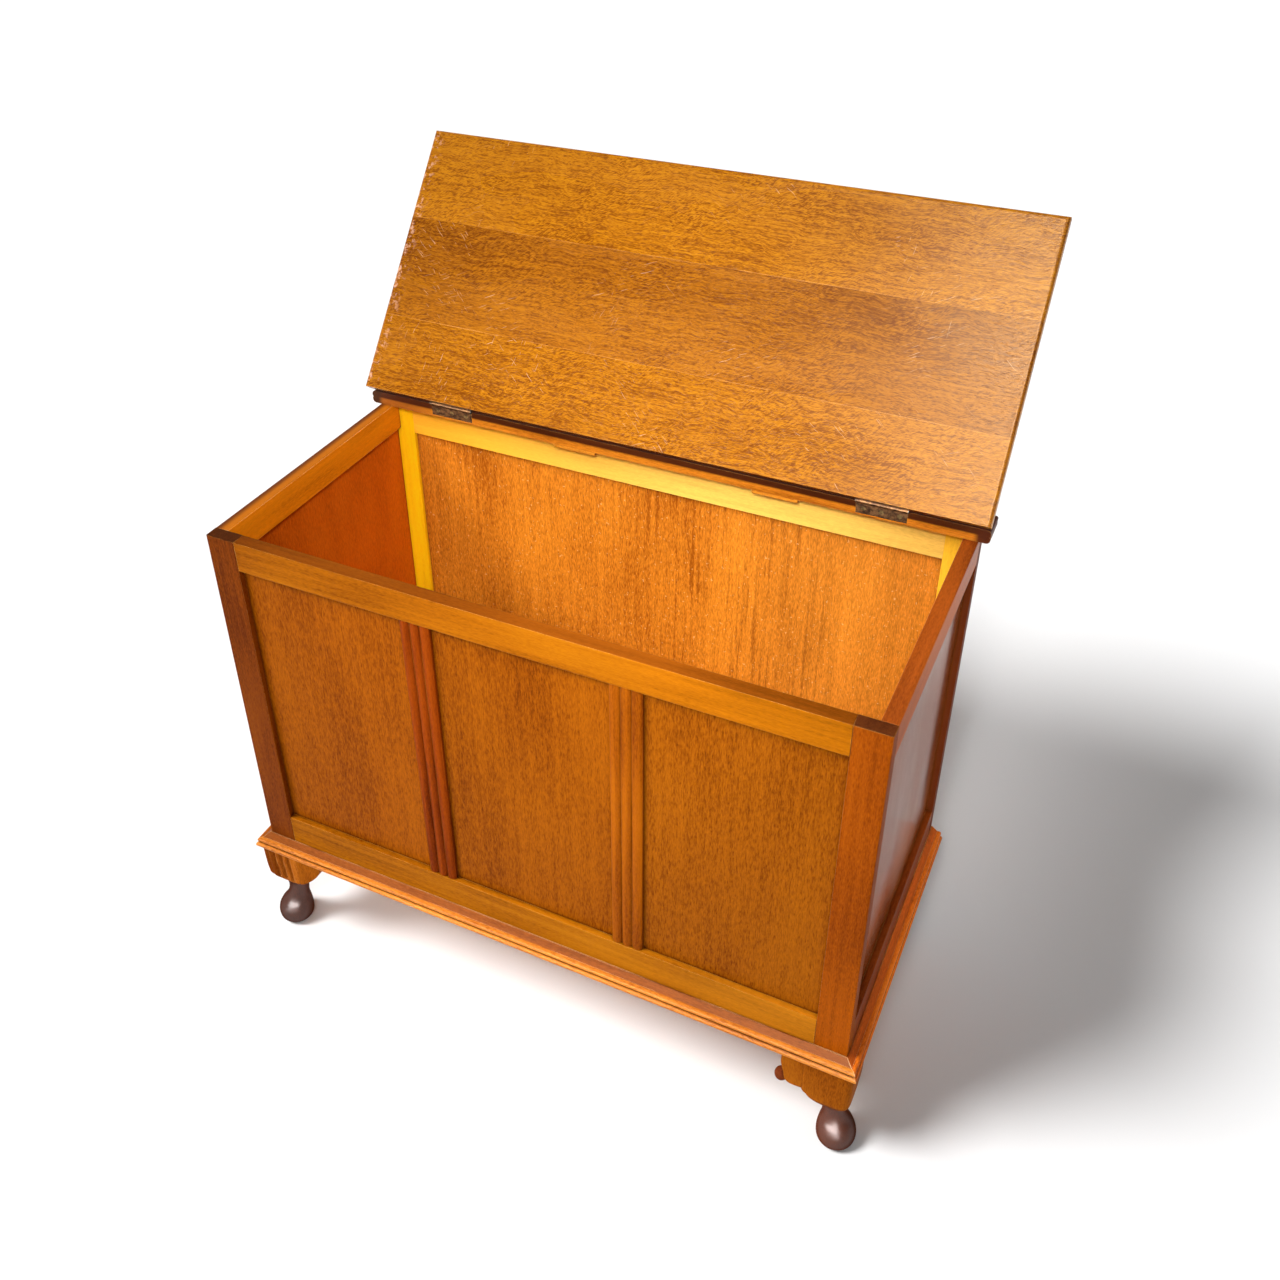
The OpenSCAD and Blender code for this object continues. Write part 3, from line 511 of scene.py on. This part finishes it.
def foot_mesh(name, corner, sx, sy, fluted, drop):
    """A closed foot under a carcass corner; a fluted one has grooves carved down its knee."""
    stations = foot_stations(drop)
    sides, steps = 128, 8
    rows = []
    for i in range(len(stations) - 1):
        around = [stations[max(0, min(len(stations) - 1, k))] for k in (i - 1, i, i + 1, i + 2)]
        last = i == len(stations) - 2
        for k in range(steps * (3 if last else 1) + (1 if last else 0)):
            t = k / (steps * (3 if last else 1))
            if last:
                rows.append([u + (v - u) * t for u, v in zip(stations[i], stations[i + 1])])
            else:
                rows.append([catmull(a, b, c, d, t) for a, b, c, d in zip(*around)])
    points = []
    for z, inset_x, inset_y, half, square in rows:
        rise = max(0.0, min(1.0, (z - 102) / 9)) * max(0.0, min(1.0, (BASE / MM + 4 - z) / 10))
        for x, y, along in even_ring(z, half, square, sides):
            if fluted and abs(along) < FLUTE_REACH:
                wave = 0.5 - 0.5 * math.cos(2 * math.pi * (along + 0.05 * (z - 130)) / FLUTE_PITCH)
                fade = min(1.0, (FLUTE_REACH - abs(along)) / 5)
                depth = FLUTE_DEPTH * rise * wave ** 2 * fade / max(1.0, math.hypot(x, y))
                x, y = x * (1 - depth), y * (1 - depth)
            points.append((corner.x + sx * (x - inset_x) * MM, corner.y + sy * (y - inset_y) * MM, z * MM))
    faces = [tuple(range(sides))[::-1], tuple((len(rows) - 1) * sides + k for k in range(sides))]
    for i in range(len(rows) - 1):
        for k in range(sides):
            n = (k + 1) % sides
            faces.append((i * sides + k, i * sides + n, (i + 1) * sides + n, (i + 1) * sides + k))
    foot = add_mesh(name, points, faces, sx * sy < 0)
    for face in foot.data.polygons[:2]:
        face.use_smooth = False
    return foot


# Outlines of the ears: across from the knee, and down from the base
WING_EDGE = [(-26, 0), (-26.5, -14), (-25, -24), (-22.5, -33), (-21.5, -40), (-20, -46), (-16, -50.2),
             (-10, -51.6), (0, -51.2)]
PLAIN_EDGE = [(-38, 0), (-36, -12), (-32, -20), (-27, -27), (-20, -35), (-13, -42), (-6, -48), (0, -51.2)]


def wing_mesh(name, corner, sx, sy, front_edge, knob):
    """The ears of a foot: one beside the knee along the side and, at the front, one along the front."""
    points, faces = [], []

    def plate(edge, y0, y1, swap):
        # The end beside the knee runs a little way into it, so that the two read as one carved bracket
        outline = [(1.8, edge[-1][1]), (1.8, 0.0), (0.0, 0.0)]
        for i in range(len(edge) - 1):
            around = [edge[max(0, min(len(edge) - 1, k))] for k in (i - 1, i, i + 1, i + 2)]
            outline += [tuple(catmull(*axis, k / 6) for axis in zip(*around)) for k in range(6)]
        outline.append(edge[-1])
        first, count = len(points), len(outline)
        for depth in (y0, y1):
            for u, v in outline:
                x, y = (depth, u - WING_START) if swap else (u - WING_START, depth)
                points.append((corner.x + sx * x * MM, corner.y + sy * y * MM, BASE + v * MM))
        low = tuple(first + k for k in range(count))
        high = tuple(first + count + k for k in range(count))
        made = [low, high[::-1]] + [(low[k], high[k], high[(k + 1) % count], low[(k + 1) % count])
                                    for k in range(count)]
        faces.extend(face[::-1] if swap else face for face in made)

    if front_edge:
        plate(front_edge, FRONT_WING_FACE - WING_THICK, FRONT_WING_FACE, False)
    plate(WING_EDGE, SIDE_WING_FACE - WING_THICK, SIDE_WING_FACE, True)
    wing = add_mesh(name, points, faces, sx * sy < 0)
    bevel = wing.modifiers.new("eased_arrises", "BEVEL")
    bevel.width = 1.3 * MM
    bevel.segments = 3
    bevel.limit_method = "ANGLE"
    bevel.angle_limit = math.radians(40)
    normals = wing.modifiers.new("flat_face_normals", "WEIGHTED_NORMAL")
    normals.keep_sharp = True
    if not knob:
        return [wing]
    rings, sides, r = 20, 32, SCROLL_R
    at = (-WING_START - SCROLL_ALONG, FRONT_WING_FACE - r - 0.5, BASE / MM - SCROLL_DROP)
    points = [(0.0, 0.0, -r)]
    for i in range(1, rings):
        a = math.pi * i / rings
        for k in range(sides):
            b = 2 * math.pi * k / sides
            # A shallow spiral groove winds round the scroll's end
            near = abs((b + 2.2 * a) % (2 * math.pi) - math.pi)
            reach = r - 0.5 * math.exp(-(near / 0.28) ** 2) * math.sin(a)
            points.append((reach * math.sin(a) * math.cos(b), reach * math.sin(a) * math.sin(b),
                           -reach * math.cos(a)))
    points.append((0.0, 0.0, r))
    faces = [(0, 1 + (k + 1) % sides, 1 + k) for k in range(sides)]
    for i in range(rings - 2):
        for k in range(sides):
            n = (k + 1) % sides
            low, high = 1 + i * sides, 1 + (i + 1) * sides
            faces.append((low + k, low + n, high + n, high + k))
    top, base = len(points) - 1, 1 + (rings - 2) * sides
    faces += [(base + k, base + (k + 1) % sides, top) for k in range(sides)]
    placed = [(corner.x + sx * (x + at[0]) * MM, corner.y + sy * (y + at[1]) * MM, (z + at[2]) * MM)
              for x, y, z in points]
    return [wing, add_mesh(f"{name}_scroll", placed, faces, sx * sy < 0)]


for side, sx in (("left", -1), ("right", 1)):
    for end, sy in (("front", -1), ("rear", 1)):
        node = f"{end}_{side}_foot"
        low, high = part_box(node)
        # The foot is drawn from a corner that its knee, and in x its pad, stand out beyond
        corner = Vector(((high.x if sx > 0 else low.x), (high.y if sy > 0 else low.y), 0.0))
        corner.x -= sx * max(PAD_R - PAD_INSET, KNEE_OUT) * MM
        corner.y -= sy * KNEE_OUT * MM
        foot = foot_mesh(f"{node}_carved", corner, sx, sy, fluted=node == "front_left_foot",
                         drop=14 if node == "front_right_foot" else 0)
        look = dict(FOOT, tone=(166, 90, 24)) if node == "front_left_foot" else FOOT
        dress(foot, wood(f"{node}_polish", **look))
        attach(foot, "carcass")
        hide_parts(node)
        wing_node = f"{node}_wings" if end == "front" else f"{node}_wing"
        front_edge = {"left": PLAIN_EDGE, "right": WING_EDGE}[side] if end == "front" else None
        knob = end == "front" and side == "right"
        for wing in wing_mesh(f"{wing_node}_carved", corner, sx, sy, front_edge, knob):
            look = dict(FOOT, tone=(104, 46, 20)) if "scroll" in wing.name else FOOT
            dress(wing, wood(f"{wing.name}_polish", seed_name=f"{node}_polish", **look))
            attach(wing, "carcass")
            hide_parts(wing_node)


# ---- Stage, light and camera ----

def add_lamp(name, kind, power, at, aim):
    data = bpy.data.lights.new(name, kind)
    data.energy = power
    lamp = bpy.data.objects.new(name, data)
    bpy.context.scene.collection.objects.link(lamp)
    lamp.location = at
    lamp.rotation_mode = "QUATERNION"
    lamp.rotation_quaternion = (Vector(aim) - Vector(at)).to_track_quat("-Z", "Y")
    return lamp


def add_gloss_card(name, power, at, aim, width, height):
    """A card of light that shows only in gloss."""
    lamp = add_lamp(name, "AREA", power, at, aim)
    lamp.data.shape = "RECTANGLE"
    lamp.data.size = width
    lamp.data.size_y = height
    lamp.visible_diffuse = False
    lamp.visible_camera = False


def make_stage():
    mesh = bpy.data.meshes.new("floor")
    reach = 30.0
    mesh.from_pydata([(-reach, -reach, 0), (reach, -reach, 0), (reach, reach, 0), (-reach, reach, 0)], [],
                     [(0, 1, 2, 3)])
    floor = bpy.data.objects.new("floor", mesh)
    bpy.context.scene.collection.objects.link(floor)
    g = Graph("pale_floor")
    shader = g.node("ShaderNodeBsdfPrincipled", Base_Color=(0.9, 0.9, 0.9, 1.0), Roughness=0.9,
                    Specular_IOR_Level=0.1)
    dress(floor, g.finish(shader))


def make_light():
    world = bpy.data.worlds.new("studio")
    world.use_nodes = True
    world.node_tree.nodes["Background"].inputs["Color"].default_value = (1.0, 1.0, 1.0, 1.0)
    world.node_tree.nodes["Background"].inputs["Strength"].default_value = 0.33
    bpy.context.scene.world = world
    sun = add_lamp("key", "SUN", 3.55, (0.0, 0.0, 0.0), (0.57, 0.42, -0.87))
    sun.data.angle = math.radians(20)
    inside = add_lamp("inside_fill", "SPOT", 190.0, (0.40, -1.35, 1.85), (-0.04, 0.05, 0.54))
    inside.data.spot_size = math.radians(36)
    inside.data.spot_blend = 0.8
    inside.data.shadow_soft_size = 0.25
    for lamp in (sun, inside):
        lamp.visible_glossy = False
    add_gloss_card("window", 205.0, (0.74, -1.45, 2.8), (0.5, 0.2, 0.8), 1.6, 1.3)
    add_gloss_card("front_card", 560.0, (0.1, -2.5, 0.9), (0.2, -0.3, 0.15), 3.6, 1.7)


def make_camera():
    data = bpy.data.cameras.new("camera")
    camera = bpy.data.objects.new("camera", data)
    bpy.context.scene.collection.objects.link(camera)
    at = Vector((0.566, -1.1988, 1.4945))
    aim = Vector((0.0197, -0.0721, 0.6686))
    roll = math.radians(-0.63)
    camera.location = at
    camera.rotation_mode = "QUATERNION"
    turn = Matrix.Rotation(roll, 3, "Z").to_quaternion()
    camera.rotation_quaternion = (aim - at).to_track_quat("-Z", "Y") @ turn
    data.sensor_width = 36.0
    data.lens = 36.0
    data.shift_x = 0.0192
    data.shift_y = -0.0848
    data.clip_start = 0.01
    data.clip_end = 100.0
    bpy.context.scene.camera = camera


make_stage()
make_light()
make_camera()
bpy.context.scene.view_settings.view_transform = "Standard"
bpy.context.scene.view_settings.look = "None"
